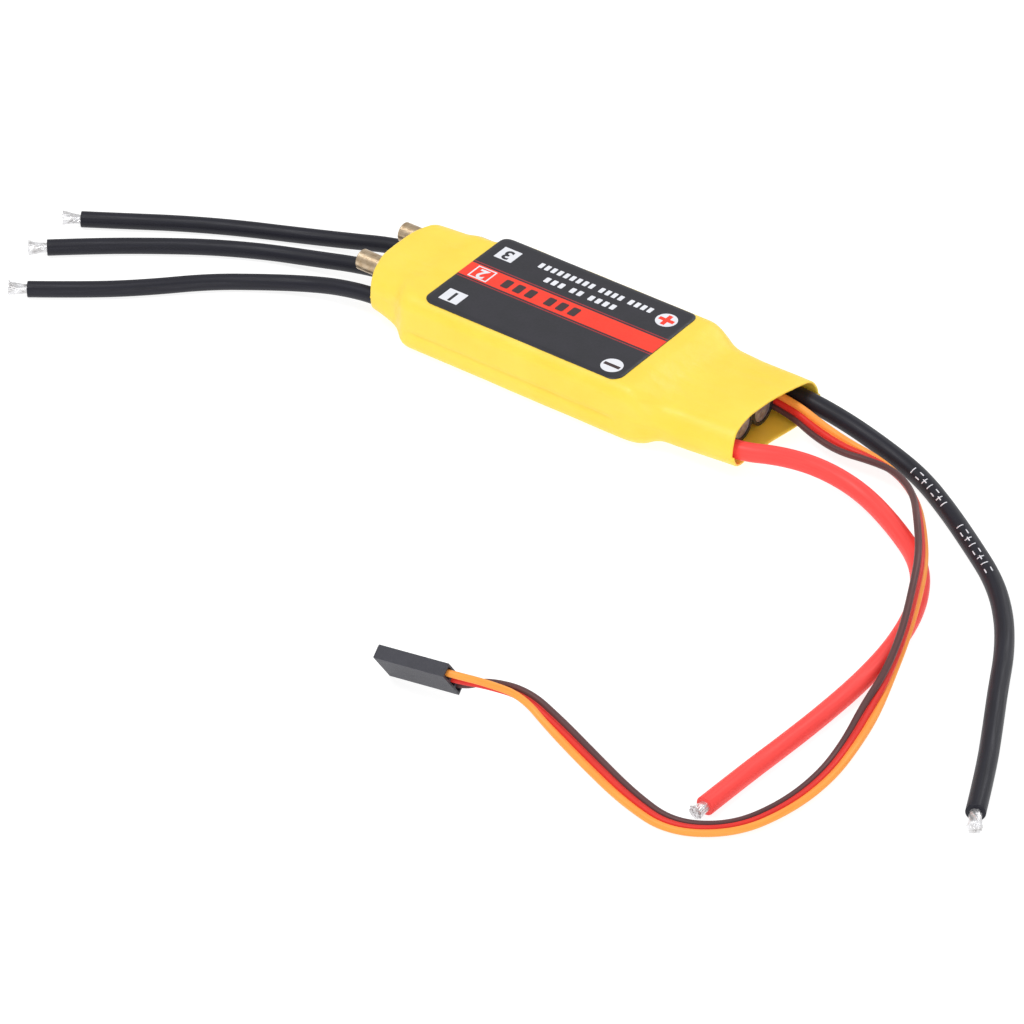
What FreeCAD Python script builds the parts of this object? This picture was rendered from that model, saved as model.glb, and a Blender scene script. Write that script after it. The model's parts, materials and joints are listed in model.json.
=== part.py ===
"""Electronic speed controller for a brushless boat motor, in millimetres.

Frame: +X towards the battery end, +Z up, origin on the resting surface below the middle of the
body.  A flattened heat-shrink sleeve, open at both ends, holds a circuit board, its power
transistors and an aluminium heatsink with a U-shaped cooling tube.  Three motor leads and the two
tube ends leave at -X; two battery leads and a three-wire servo lead leave at +X.
"""
import FreeCAD, Part
import math
import os

V = FreeCAD.Vector
X_AXIS, Z_AXIS = V(1, 0, 0), V(0, 0, 1)

# ---------------------------------------------------------------- driving dimensions
SLEEVE_WALL = 0.6
BODY_HALF_WIDTH = 14.6
BODY_HEIGHT = 12.0
BODY_CORNER = 2.8
BODY_START, BODY_END = -30.0, 21.0
MOUTH_END = 44.6
MOUTH_SKEW = 4.5                    # degrees, the battery mouth is cut a little askew

LABEL_LENGTH, LABEL_WIDTH = 43.8, 25.7
LABEL_CENTRE = -3.2
LABEL_FILM = 0.12
LABEL_CORNER = 2.0

BOARD_START, BOARD_END = -29.6, 20.4
BOARD_HALF_WIDTH = 13.3
BOARD_BOTTOM, BOARD_THICKNESS = 2.2, 1.6
BOARD_TOP = BOARD_BOTTOM + BOARD_THICKNESS
MOSFET_HEIGHT = 1.1
PAD_THICKNESS = 0.7
PLATE_BOTTOM = BOARD_TOP + MOSFET_HEIGHT + PAD_THICKNESS
PLATE_TOP = 11.2
PLATE_HALF_WIDTH = 13.4
PLATE_EDGE = 2.0                             # rounding of its long upper edges
STACK_CORNER = 2.2                           # rounding of the upright corners of board and plate
NOTCH_END, NOTCH_SIDE = -23.0, 11.2          # board and plate are cut back beside the third motor lead
PAD_SPAN, PAD_HALF_WIDTH = (-23.4, 11.4), 12.2
SHEET_SPAN, SHEET_HALF_WIDTH = (-28.0, 19.0), 11.3
SHEET_BOTTOM, SHEET_TOP = 0.65, 0.85

TUBE_RADIUS, TUBE_BORE = 2.0, 1.5
TUBE_HALF_SPACING = 5.9
TUBE_SIDE = 0.85                             # middle of the U, towards the third motor lead
TUBE_AXIS = 8.75
TUBE_ENDS = (-45.2, -44.4)                   # near end, far end
TUBE_CHAMFER = 0.25
TUBE_BEND_START = 8.0
GROOVE_GAP = 0.05

CHIP_BEVEL = 0.12
PHASE_ROWS = (-8.6, 0.0, 8.6)                # middle of each phase across the board
MOSFET_FIRST, MOSFET_PITCH = -20.4, 5.7
MOSFET_LENGTH, MOSFET_WIDTH = 4.9, 5.9
CERAMIC_X, CERAMIC_FIRST = 14.2, -7.5
PASSIVE_COLUMNS, PASSIVE_FIRST = (-22.5, 2.6), -10.5
SMALL_PITCH = 3.0                            # between neighbouring ceramic capacitors or passives
DRIVER_X, CONTROLLER_X, REGULATOR_X = -2.5, -13.0, 9.5
# Leaded packages: length, width, leads a side, pitch, leads on all four sides
SMALL_PACKAGE = (4.9, 3.9, 4, 1.27, False)
SQUARE_PACKAGE = (7.0, 7.0, 8, 0.8, True)

CAPACITOR_RADIUS, CAPACITOR_LENGTH = 3.15, 11.0
CAPACITOR_FRONT = 39.4
CAPACITOR_HALF_SPACING = 3.2
CAPACITOR_AXIS = 5.5
CAPACITOR_PITCH = 2.5
CAPACITOR_LEAD = 0.3
CAPACITOR_FILM, CAPACITOR_WINDOW = 0.15, 2.5 # film thickness, radius of the bare end it leaves
BUNG_LENGTH = 1.85
LEAD_BEND_START, LEAD_BEND_END = 25.8, 21.6  # where a capacitor's leads drop to the board
LEAD_PAD, LEAD_PAD_HEIGHT = 18.8, 4.25

BATTERY_WIRE, BATTERY_CORE = 1.75, 0.8      # radii of insulation and conductor
MOTOR_WIRE, MOTOR_CORE = 1.55, 0.7
SERVO_WIRE, SERVO_CORE = 0.635, 0.3
CORE_GAP = 0.02                              # between a conductor and its insulation
SOLDER_SPREAD, SOLDER_BASE = 1.4, 0.4        # solder beside a conductor, in its radii, and under it
SERVO_PITCH = 1.45                           # between neighbouring wires of the flat lead
PLUG_PITCH = 2.54

PLUG_LENGTH, PLUG_WIDTH, PLUG_HEIGHT = 14.0, 7.62, 2.54
PLUG_X, PLUG_Y = 35.0, -93.0
PLUG_HEADING, PLUG_RISE, PLUG_LEAN = 6.0, 5.5, 57.5          # degrees
CHAMBER_WIDTH, CHAMBER_HEIGHT = 1.85, 1.75
CHAMBER_DEPTH = 13.2                         # from the rear face; the rest is the entry wall
INSULATION_IN_PLUG = 3.0
LEAD_IN = 1.0                                # straight stretch of each servo wire behind the plug

# Sections of the sleeve: x, half width, underside, top, corner radius
SLEEVE_SECTIONS = [
    (-39.9, 11.9, 2.4, 11.4, 3.5),
    (-36.4, 12.4, 2.3, 11.5, 3.8),
    (-31.9, 12.6, 2.1, 11.6, 3.6),
    (-31.2, 13.2, 1.1, 11.8, 3.2),
    (BODY_START, BODY_HALF_WIDTH, 0.0, BODY_HEIGHT, BODY_CORNER),
    (BODY_END, BODY_HALF_WIDTH, 0.0, BODY_HEIGHT, BODY_CORNER),
    (23.6, 14.2, 0.4, 11.2, 3.2),
    (25.4, 13.6, 1.0, 10.1, 3.5),
    (27.8, 13.4, 1.4, 9.5, 3.7),
    (32.8, 13.3, 1.6, 9.3, 3.7),
    (46.5, 13.2, 1.9, 9.3, 3.6),
]

# Routes of the free leads, from the board to the end of the insulation
MOTOR_ROUTES = {
    "motor_wire_a": [
        (-30.6, -8.5, 4.75), (-38.5, -8.4, 4.75), (-47, -8.8, 3.7), (-54.5, -10.1, 2.2), (-62, -13.8, 1.55),
        (-70, -19.6, 1.55), (-78, -27.9, 1.55), (-86, -34.8, 1.55), (-95.5, -41.54, 1.55)],
    "motor_wire_b": [
        (-30.6, 0, 4.75), (-38, -0.1, 4.7), (-48, -1, 3.9), (-58, -2.5, 2.2), (-68, -5.5, 1.55),
        (-77.5, -10.6, 1.55), (-86.5, -16.8, 1.55), (-94.5, -22.8, 1.55), (-101.58, -28.72, 1.55)],
    "motor_wire_c": [
        (-30.6, 8.5, 4.75), (-38, 8.5, 4.7), (-47, 7.9, 4), (-57, 5.9, 2.2), (-67, 2.3, 1.55),
        (-77, -2.2, 1.55), (-87, -7.6, 1.55), (-95.5, -13, 1.55), (-102.66, -17.48, 1.55)],
}
MOTOR_TIP, MOTOR_TIP_RADIUS = 3.6, 1.1      # bare tinned end of each motor conductor
MOTOR_PAD_REACH = 4.0                        # from the end of the insulation to the pad
BATTERY_ROUTES = {
    "battery_wire_negative": [
        (21.6, 10.9, 4.82), (32, 10.7, 5.2), (43, 10.5, 5.6), (53, 10, 4.6), (62.5, 9.3, 2.6),
        (71, 7, 1.75), (80, 1.6, 1.75), (89, -4.6, 1.75), (97.5, -10.8, 1.75), (104.2, -18, 1.75),
        (110, -26.8, 1.75), (114.8, -36.5, 1.75), (119.8, -46, 1.75), (124.7, -55.6, 1.75),
        (129.47, -66.28, 1.75)],
    "battery_wire_positive": [
        (21.6, -9.6, 4.82), (32, -9.9, 5.2), (43, -10.2, 5.5), (50, -6.8, 4.9), (57, -4, 3.3),
        (65.5, -4, 1.9), (75, -8, 1.75), (85, -14.5, 1.75), (91, -24.5, 1.75), (94, -36, 1.75),
        (95, -48, 1.75), (94.8, -60, 1.75), (94.2, -70, 1.75), (93.4, -79.6, 1.75), (92.75, -91.3, 1.75)],
}
BATTERY_TIPS = {"battery_wire_negative": 3.8, "battery_wire_positive": 2.4}
BATTERY_TIP_RADIUS = 1.2
BATTERY_PAD_REACH = 4.4
SERVO_TIP, SERVO_PAD_REACH = 2.4, 1.6        # the crimped end keeps the radius of the conductor

# Middle line of the servo lead: x, y, z, roll in degrees (0 is flat with orange on the left of the
# way it runs, 90 stands on edge with orange on top), and how far it is bunched, from 0 to 1
SERVO_ROUTE = [
    (21, 7, 4.5, 5, 0), (27, 7.6, 4.9, 58, 0), (34, 7.7, 5.4, 85, 0), (43.5, 7.1, 5.5, 75, 0),
    (50, 5.6, 4.9, 50, 0), (56, 4.6, 4.2, 20, 0), (62.5, 4.6, 3, -20, 0), (69, 2.6, 2.7, -55, 0),
    (76, -2.2, 3.8, -70, 0), (82.3, -9.3, 5.8, -62, 0), (88.4, -18, 6.4, -62, 0),
    (92.8, -27, 5.7, -65, 0), (96, -36, 4.0, -75, 0), (98.2, -45, 2.3, -75, 0),
    (100.2, -53.5, 1.4, -20, 0), (102.3, -62, 1, 10, 0), (103.9, -72, 1, 10, 0),
    (103.2, -82.5, 1, 10, 0), (99.6, -92.6, 1, 6, 0), (91, -98.3, 0.9, 0, 0), (81, -96.3, 1, -8, 0),
    (70, -92.2, 1.3, -18, 0), (60.5, -88.6, 1.4, -10, 0.2), (52.5, -86.6, 2.2, 24, 0.6),
    (47, -90, 4.5, 42, 0.45)]
SERVO_COLOURS = ("brown", "red", "orange")


# ---------------------------------------------------------------- helpers
def box(x0, x1, y0, y1, z0, z1):
    """Block between two corners."""
    return Part.makeBox(x1 - x0, y1 - y0, z1 - z0, V(x0, y0, z0))


def upright_edges(block):
    """Edges of a block that run along Z."""
    return [edge for edge in block.Edges if abs(edge.tangentAt(edge.FirstParameter).z) > 0.99]


def stack_outline(half_width, z0, z1):
    """Block with rounded upright corners, cut back beside the third motor lead."""
    block = box(BOARD_START, BOARD_END, -half_width, half_width, z0, z1)
    block = block.makeFillet(STACK_CORNER, upright_edges(block))
    return block.cut(box(BOARD_START - 1, NOTCH_END, NOTCH_SIDE, half_width + 1, z0 - 1, z1 + 1))


def cylinder(radius, start, axis, length):
    """Cylinder from a start point along an axis."""
    return Part.makeCylinder(radius, length, start, axis)


def rounded_section(x, half_width, low, high, radius):
    """Closed wire of a rounded rectangle in the plane at x."""
    inner = half_width - radius
    upper, lower = high - radius, low + radius
    centres = [(inner, upper), (-inner, upper), (-inner, lower), (inner, lower)]
    arcs = []
    for quarter, (cy, cz) in enumerate(centres):
        angles = [math.radians(90 * quarter + step) for step in (0, 45, 90)]
        points = [V(x, cy + radius * math.cos(a), cz + radius * math.sin(a)) for a in angles]
        arcs.append(Part.Arc(*points).toShape())
    edges = []
    for index, arc in enumerate(arcs):
        following = arcs[(index + 1) % 4]
        edges.append(arc)
        edges.append(Part.LineSegment(arc.Vertexes[-1].Point, following.Vertexes[0].Point).toShape())
    return Part.Wire(edges)


def export(name, solids):
    """Write one node; a group stays as separate solids."""
    shape = solids[0] if len(solids) == 1 else Part.makeCompound(solids)
    assert all(solid.isValid() for solid in shape.Solids), name
    shape.exportStep(f"parts/{name}.step")


def tangent_path(points):
    """Straight runs joined by tangent arcs, with the radius of each arc."""
    edges, radii = [], []
    here = points[0]
    for before, corner, after in zip(points, points[1:], points[2:]):
        incoming, outgoing = corner - before, after - corner
        shorter = min(incoming.Length, outgoing.Length)
        incoming.normalize()
        outgoing.normalize()
        half_turn = incoming.getAngle(outgoing) / 2
        reach = 0.45 * shorter
        radius = reach / math.tan(half_turn)
        start, end = corner - incoming * reach, corner + outgoing * reach
        bisector = outgoing - incoming
        bisector.normalize()
        middle = corner + bisector * (radius / math.cos(half_turn) - radius)
        edges.append(Part.LineSegment(here, start).toShape())
        edges.append(Part.Arc(start, middle, end).toShape())
        radii.append(radius)
        here = end
    edges.append(Part.LineSegment(here, points[-1]).toShape())
    return Part.Wire(edges), radii


def sweep_ring(path, start, direction, outer, bore=0.0):
    """Round tube or rod along a path."""
    rim = Part.Wire(Part.makeCircle(outer, start, direction))
    rings = [rim]
    if bore:
        rings.append(Part.Wire(Part.makeCircle(bore, start, direction)))
    face = Part.makeFace(rings, "Part::FaceMakerBullseye")
    return path.makePipe(face)


def check_volume(name, solid, outer, bore, length):
    """Compare a swept solid with its section times its length."""
    expected = math.pi * (outer ** 2 - bore ** 2) * length
    assert abs(solid.Volume / expected - 1) < 0.01, (name, solid.Volume, expected)


def wire_pieces(name, points, outer, core, pad_reach, tip_length, tip_radius):
    """Insulation, conductor and solder pad of one lead.

    The conductor starts on its pad, pad_reach before the insulation, and ends bare, tip_length past it,
    where its tinned strands spread to tip_radius.
    """
    path, radii = tangent_path(points)
    first_run, last_run = points[1] - points[0], points[-1] - points[-2]
    first_run.normalize()
    last_run.normalize()
    insulation = sweep_ring(path, points[0], first_run, outer, core + CORE_GAP)
    check_volume(name, insulation, outer, core + CORE_GAP, path.Length)
    pad, tip = points[0] - first_run * pad_reach, points[-1] + last_run * tip_length
    edges = path.Edges
    edges[0] = Part.LineSegment(pad, edges[0].Vertexes[-1].Point).toShape()
    edges[-1] = Part.LineSegment(edges[-1].Vertexes[0].Point, tip).toShape()
    core_path = Part.Wire(edges)
    conductor = sweep_ring(core_path, pad, first_run, core)
    check_volume(name, conductor, core, 0.0, core_path.Length)
    if tip_radius > core:
        conductor = conductor.fuse(cylinder(tip_radius, points[-1], last_run, tip_length)).removeSplitter()
    print(f"{name}: length {path.Length:.1f}, arc radii " + " ".join(f"{r:.0f}" for r in radii))
    return insulation, conductor, pad


# ---------------------------------------------------------------- sleeve and label
def sleeve_solid(inset, overhang=0.0):
    """Solid outline of the sleeve, shrunk by inset and lengthened by overhang at both ends."""
    wires = []
    for index, (x, half_width, low, high, corner) in enumerate(SLEEVE_SECTIONS):
        end = {0: -overhang, len(SLEEVE_SECTIONS) - 1: overhang}.get(index, 0.0)
        section = (x + end, half_width - inset, low + inset, high - inset, corner - inset)
        wires.append(rounded_section(*section))
    return Part.makeLoft(wires, True, True)


def heat_shrink_sleeve():
    """Yellow sleeve: a shell open at both ends, trimmed askew at the battery mouth."""
    shell = sleeve_solid(0.0).cut(sleeve_solid(SLEEVE_WALL, 1.0))
    trim = box(0, 20, -40, 40, -5, 20)
    far_edge = V(MOUTH_END, SLEEVE_SECTIONS[-1][1], 0)
    trim.translate(far_edge)
    trim.rotate(far_edge, Z_AXIS, -MOUTH_SKEW)
    return shell.cut(trim)


def label_film():
    """Printed film that follows the flat top and the start of the shoulders."""
    skins = []
    for growth in (LABEL_FILM, 0.0):
        half_width, corner = BODY_HALF_WIDTH + growth, BODY_CORNER + growth
        wire = rounded_section(BODY_START, half_width, -growth, BODY_HEIGHT + growth, corner)
        skins.append(Part.Face(wire).extrude(V(BODY_END - BODY_START, 0, 0)))
    film = skins[0].cut(skins[1])
    half_length, half_width = LABEL_LENGTH / 2, LABEL_WIDTH / 2
    x0, x1 = LABEL_CENTRE - half_length, LABEL_CENTRE + half_length
    outline = box(x0, x1, -half_width, half_width, BODY_HEIGHT - 4, BODY_HEIGHT + 2)
    return film.common(outline.makeFillet(LABEL_CORNER, upright_edges(outline)))


# ---------------------------------------------------------------- cooling
def cooling_path(near_end, far_end):
    """Middle line of the U-shaped tube."""
    near, far, z = TUBE_SIDE - TUBE_HALF_SPACING, TUBE_SIDE + TUBE_HALF_SPACING, TUBE_AXIS
    near_turn, far_turn = V(TUBE_BEND_START, near, z), V(TUBE_BEND_START, far, z)
    crown = V(TUBE_BEND_START + TUBE_HALF_SPACING, TUBE_SIDE, z)
    near_leg = Part.LineSegment(V(near_end, near, z), near_turn).toShape()
    bend = Part.Arc(near_turn, crown, far_turn).toShape()
    far_leg = Part.LineSegment(far_turn, V(far_end, far, z)).toShape()
    return Part.Wire([near_leg, bend, far_leg])


def cooling_tube():
    """Brass water tube with chamfered ends."""
    path = cooling_path(*TUBE_ENDS)
    tube = sweep_ring(path, path.Vertexes[0].Point, X_AXIS, TUBE_RADIUS, TUBE_BORE)
    rims = [edge for edge in tube.Edges
            if isinstance(edge.Curve, Part.Circle) and abs(edge.Curve.Radius - TUBE_RADIUS) < 1e-6
            and edge.BoundBox.XMax < max(TUBE_ENDS) + 0.01]
    return tube.makeChamfer(TUBE_CHAMFER, rims)


def heatsink_plate():
    """Aluminium block with a groove, open at the top, that the tube is pressed into."""
    plate = box(BOARD_START, BOARD_END, -PLATE_HALF_WIDTH, PLATE_HALF_WIDTH, PLATE_BOTTOM, PLATE_TOP)
    top_edges = [edge for edge in plate.Edges
                 if edge.BoundBox.XLength > 40 and edge.BoundBox.ZMin > PLATE_TOP - 0.01]
    plate = plate.makeFillet(PLATE_EDGE, top_edges)
    plate = plate.common(stack_outline(PLATE_HALF_WIDTH, PLATE_BOTTOM, PLATE_TOP))
    radius = TUBE_RADIUS + GROOVE_GAP
    path = cooling_path(*TUBE_ENDS)
    plate = plate.cut(sweep_ring(path, path.Vertexes[0].Point, X_AXIS, radius))
    above = PLATE_TOP + 1
    for y in (TUBE_SIDE - TUBE_HALF_SPACING, TUBE_SIDE + TUBE_HALF_SPACING):
        slot = box(BOARD_START - 1, TUBE_BEND_START, y - radius, y + radius, TUBE_AXIS, above)
        plate = plate.cut(slot)
    hub = V(TUBE_BEND_START, TUBE_SIDE, TUBE_AXIS)
    ring = cylinder(TUBE_HALF_SPACING + radius, hub, Z_AXIS, above - TUBE_AXIS)
    ring = ring.cut(cylinder(TUBE_HALF_SPACING - radius, hub, Z_AXIS, above - TUBE_AXIS))
    beyond = box(TUBE_BEND_START, BOARD_END, -BODY_HALF_WIDTH, BODY_HALF_WIDTH, 0, above)
    return plate.cut(ring.common(beyond))


def thermal_pad():
    """Soft sheet between the transistors and the heatsink."""
    return box(*PAD_SPAN, -PAD_HALF_WIDTH, PAD_HALF_WIDTH, PLATE_BOTTOM - PAD_THICKNESS, PLATE_BOTTOM)


def insulation_sheet():
    """Thin sheet between the sleeve's floor and the chips under the board."""
    return box(*SHEET_SPAN, -SHEET_HALF_WIDTH, SHEET_HALF_WIDTH, SHEET_BOTTOM, SHEET_TOP)


# ---------------------------------------------------------------- circuit board
def circuit_board():
    """Board with rounded corners."""
    return stack_outline(BOARD_HALF_WIDTH, BOARD_BOTTOM, BOARD_TOP)


def chip(x, y, length, width, height, top_side):
    """Moulded chip with a bevelled face, standing on either side of the board."""
    low = BOARD_TOP if top_side else BOARD_BOTTOM - height
    body = box(x - length / 2, x + length / 2, y - width / 2, y + width / 2, low, low + height)
    face = low + height if top_side else low
    rim = [edge for edge in body.Edges
           if abs(edge.BoundBox.ZMin - face) < 1e-6 and edge.BoundBox.ZLength < 1e-6]
    return body.makeChamfer(CHIP_BEVEL, rim)


def gull_wing(x, y, angle, half_span, board_face, lift):
    """Bent lead from the side of a chip down to its pad; lift is positive above the board."""
    foot, reach, thickness, width = 0.45, 0.8, 0.15, 0.3
    profile = [(0, 0.5), (0.35, 0.5), (0.35, 0.0), (0.35 + foot, 0.0), (0.35 + foot, 0.15),
               (0.5, 0.15), (0.5, 0.65), (0, 0.65)]
    points = [V(half_span + along, -width / 2, board_face + lift * up) for along, up in profile]
    lead = Part.Face(Part.makePolygon(points + points[:1])).extrude(V(0, width, 0))
    lead.rotate(V(0, 0, 0), Z_AXIS, angle)
    lead.translate(V(x, y, 0))
    return lead


def mosfets(row_y):
    """Six power transistors of one phase, three for each side of the half bridge."""
    places = [MOSFET_FIRST + MOSFET_PITCH * index for index in range(6)]
    return [chip(x, row_y, MOSFET_LENGTH, MOSFET_WIDTH, MOSFET_HEIGHT, True) for x in places]


def ceramic_capacitors():
    """Row of capacitors across the supply, beside the battery pads."""
    places = [CERAMIC_FIRST + SMALL_PITCH * index for index in range(6)]
    return [chip(CERAMIC_X, y, 3.2, 1.6, 1.2, True) for y in places]


def leaded_chip(x, y, length, width, leads_per_side, pitch, four_sides):
    """Chip body on the underside with its gull-wing leads."""
    solids = [chip(x, y, length, width, 1.0, False)]
    sides = [(90, width / 2), (270, width / 2)]
    if four_sides:
        sides += [(0, length / 2), (180, length / 2)]
    for angle, half_span in sides:
        for index in range(leads_per_side):
            along = (index - (leads_per_side - 1) / 2) * pitch
            turn = math.radians(angle)
            offset = V(-along * math.sin(turn), along * math.cos(turn), 0)
            solids.append(gull_wing(x + offset.x, y + offset.y, angle, half_span, BOARD_BOTTOM, -1))
    return solids


def gate_drivers():
    """One driver for each phase."""
    return [solid for y in PHASE_ROWS for solid in leaded_chip(DRIVER_X, y, *SMALL_PACKAGE)]


def chip_passives():
    """Small resistors and capacitors on the underside."""
    places = [PASSIVE_FIRST + SMALL_PITCH * index for index in range(8)]
    return [chip(x, y, 1.6, 0.8, 0.55, False) for x in PASSIVE_COLUMNS for y in places]


def solder_joint(pad, exit_point, core):
    """Solder around the part of a conductor that lies on its pad."""
    half_width, height = SOLDER_SPREAD * core, 0.8 * core + SOLDER_BASE
    inner = 0.5 * (exit_point - pad).x
    x0, x1 = sorted((pad.x - math.copysign(SOLDER_BASE, inner), pad.x + inner))
    joint = box(x0, x1, pad.y - half_width, pad.y + half_width, BOARD_TOP, BOARD_TOP + height)
    rim = [edge for edge in joint.Edges if edge.BoundBox.ZMin > BOARD_TOP + height - 0.01]
    joint = joint.makeChamfer(height * 0.4, rim)
    axis = exit_point - pad
    return joint.cut(cylinder(core + CORE_GAP, pad - axis * 0.5, axis, axis.Length * 2))


# ---------------------------------------------------------------- electrolytic capacitors
def capacitor_pieces(y):
    """Can, printed sleeve, rubber bung and leads of one capacitor lying along X."""
    rear = V(CAPACITOR_FRONT - CAPACITOR_LENGTH, y, CAPACITOR_AXIS)
    inside = rear + X_AXIS * CAPACITOR_FILM
    inner_length = CAPACITOR_LENGTH - 2.5 * CAPACITOR_FILM
    can_radius = CAPACITOR_RADIUS - CAPACITOR_FILM
    bung_radius = can_radius - 0.25
    can = cylinder(can_radius, inside, X_AXIS, inner_length)
    can = can.makeFillet(0.3, [edge for edge in can.Edges if edge.BoundBox.XMin > CAPACITOR_FRONT - 0.5])
    can = can.cut(cylinder(bung_radius, rear, X_AXIS, BUNG_LENGTH + CAPACITOR_FILM))
    score = box(CAPACITOR_FRONT - 0.35, CAPACITOR_FRONT, -2.2, 2.2, -0.12, 0.12)
    score.rotate(V(0, 0, 0), X_AXIS, 62)
    score.translate(V(0, y, CAPACITOR_AXIS))
    can = can.cut(score)
    sleeve = cylinder(CAPACITOR_RADIUS, rear, X_AXIS, CAPACITOR_LENGTH)
    sleeve = sleeve.cut(cylinder(can_radius, inside, X_AXIS, inner_length))
    sleeve = sleeve.cut(cylinder(CAPACITOR_WINDOW, rear - X_AXIS, X_AXIS, CAPACITOR_LENGTH + 2))
    bung = cylinder(bung_radius, inside, X_AXIS, BUNG_LENGTH)
    leads = []
    for lead_y in capacitor_lead_places(y):
        points = [V(rear.x + 1.0, lead_y, CAPACITOR_AXIS), V(LEAD_BEND_START, lead_y, CAPACITOR_AXIS),
                  V(LEAD_BEND_END, lead_y, LEAD_PAD_HEIGHT), V(LEAD_PAD, lead_y, LEAD_PAD_HEIGHT)]
        path, _ = tangent_path(points)
        leads.append(sweep_ring(path, points[0], X_AXIS, CAPACITOR_LEAD))
        bung = bung.cut(cylinder(CAPACITOR_LEAD + CORE_GAP, points[0], -X_AXIS, 3))
    return {"can": [can], "sleeve": [sleeve], "bung": [bung], "leads": leads}


def capacitor_lead_places(y):
    """Sideways places of a capacitor's two leads."""
    return (y - CAPACITOR_PITCH / 2, y + CAPACITOR_PITCH / 2)


# ---------------------------------------------------------------- servo lead and plug
def plug_axes():
    """Unit vectors of the plug: towards its wires, across its width, through its thickness."""
    heading, rise, lean = (math.radians(a) for a in (PLUG_HEADING, PLUG_RISE, PLUG_LEAN))
    along = V(math.cos(heading) * math.cos(rise), math.sin(heading) * math.cos(rise), math.sin(rise))
    level = V(-math.sin(heading), math.cos(heading), 0)
    upward = along.cross(level)
    across = level * math.cos(lean) - upward * math.sin(lean)
    return along, across, along.cross(across)


def plug_placement():
    """Place the plug so that its lowest corner touches the ground."""
    along, across, through = plug_axes()
    height = (PLUG_LENGTH * abs(along.z) + PLUG_WIDTH * abs(across.z) + PLUG_HEIGHT * abs(through.z)) / 2
    matrix = FreeCAD.Matrix(
        along.x, across.x, through.x, PLUG_X,
        along.y, across.y, through.y, PLUG_Y,
        along.z, across.z, through.z, height,
        0, 0, 0, 1)
    return FreeCAD.Placement(matrix)


def servo_plug_housing():
    """Three-way housing: entry holes at the front, chambers from the rear, latch windows."""
    rear = PLUG_LENGTH / 2
    housing = box(-rear, rear, -PLUG_WIDTH / 2, PLUG_WIDTH / 2, -PLUG_HEIGHT / 2, PLUG_HEIGHT / 2)
    front_rim = [edge for edge in housing.Edges if edge.BoundBox.XMax < -rear + 0.01]
    housing = housing.makeChamfer(0.2, front_rim)
    half_width, half_height = CHAMBER_WIDTH / 2, CHAMBER_HEIGHT / 2
    for row in (-1, 0, 1):
        y = row * PLUG_PITCH
        sides = (y - half_width, y + half_width)
        housing = housing.cut(box(rear - CHAMBER_DEPTH, rear + 1, *sides, -half_height, half_height))
        housing = housing.cut(box(-rear - 1, rear, y - 0.5, y + 0.5, -0.5, 0.5))
        housing = housing.cut(box(-2.2, 2.0, y - 0.75, y + 0.75, 0, PLUG_HEIGHT))
        housing = housing.fuse(box(-1.6, 2.0, y - 0.45, y + 0.45, half_height, PLUG_HEIGHT / 2))
    housing = housing.removeSplitter()
    housing.Placement = plug_placement()
    return housing


def servo_contacts():
    """Crimped sockets in the three chambers."""
    solids = []
    for row in (-1, 0, 1):
        y = row * PLUG_PITCH
        socket = box(-6.0, 1.0, y - 0.8, y + 0.8, -0.75, 0.75)
        socket = socket.cut(box(-7.0, 0.4, y - 0.55, y + 0.55, -0.5, 0.5))
        barrel = cylinder(0.6, V(1.0, y, 0), X_AXIS, 2.4)
        barrel = barrel.cut(cylinder(SERVO_CORE + CORE_GAP, V(1.3, y, 0), X_AXIS, 3))
        solid = socket.fuse(barrel).removeSplitter()
        solid.Placement = plug_placement()
        solids.append(solid)
    return solids


def servo_points():
    """Points of the three wires, offset from the middle line of the flat lead."""
    centres = [V(*point[:3]) for point in SERVO_ROUTE]
    wires = {colour: [] for colour in SERVO_COLOURS}
    for index, (_, _, _, roll, bunch) in enumerate(SERVO_ROUTE):
        forward = centres[min(index + 1, len(centres) - 1)] - centres[max(index - 1, 0)]
        forward.normalize()
        left = Z_AXIS.cross(forward)
        left.normalize()
        upward = forward.cross(left)
        side = left * math.cos(math.radians(roll)) + upward * math.sin(math.radians(roll))
        normal = side.cross(forward) * -1
        brown_angle, orange_angle = math.radians(180 - 90 * bunch), math.radians(30 * bunch)
        offsets = {"brown": (side * math.cos(brown_angle) + normal * math.sin(brown_angle)) * SERVO_PITCH,
                   "red": V(0, 0, 0),
                   "orange": (side * math.cos(orange_angle) + normal * math.sin(orange_angle)) * SERVO_PITCH}
        middle = (offsets["brown"] + offsets["orange"]) * (1 / 3)
        for colour, offset in offsets.items():
            wires[colour].append(centres[index] + offset - middle)
    placement = plug_placement()
    for colour, row in zip(SERVO_COLOURS, (1, 0, -1)):
        for reach in (PLUG_LENGTH / 2 + LEAD_IN, PLUG_LENGTH / 2 - INSULATION_IN_PLUG):
            wires[colour].append(placement.multVec(V(reach, row * PLUG_PITCH, 0)))
    return wires


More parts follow.
